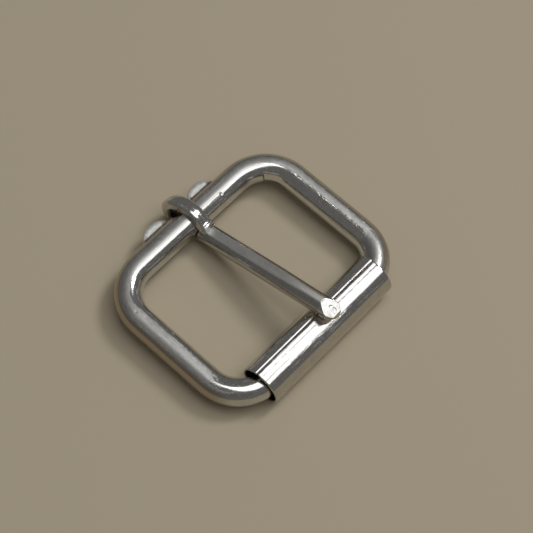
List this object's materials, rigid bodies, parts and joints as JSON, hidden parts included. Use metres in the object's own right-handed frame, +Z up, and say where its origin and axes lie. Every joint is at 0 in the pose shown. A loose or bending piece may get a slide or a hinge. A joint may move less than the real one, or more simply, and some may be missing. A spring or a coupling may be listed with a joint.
{
  "type": "roller buckle",
  "caption": "Roller buckle: a bent wire frame, a sheet roller that turns on one bar and a tongue that swings on the other, to fasten a strap.",
  "frame": {"origin": "middle of the buckle's footprint on the surface that it lies on", "axes": "+X from the hinge bar towards the roller, Y along the hinge bar and the roller, across the strap, +Z up from the surface"},
  "size_m": [0.0304, 0.033, 0.0086],
  "materials": {
    "frame_nickel": "bright nickel plate, worn to a satin with fine scratches and pits on the side bars",
    "roller_nickel": "bright polished nickel plate",
    "tongue_nickel": "bright nickel plate with fine drawing lines along the shank"
  },
  "bodies": {
    "frame": {"frame": "frame_nickel"},
    "roller": {"roller": "roller_nickel"},
    "tongue": {"tongue": "tongue_nickel"}
  },
  "joints": [
    {"name": "tongue_swing", "type": "hinge", "parent": "frame", "child": "tongue", "pos_m": [-0.01075, 0, 0.00295], "axis": [0, -1, 0], "range_deg": [0, 175]},
    {"name": "roller_spin", "type": "hinge", "parent": "frame", "child": "roller", "pos_m": [0.0123, 0, 0.00295], "axis": [0, 1, 0], "continuous": true}
  ]
}
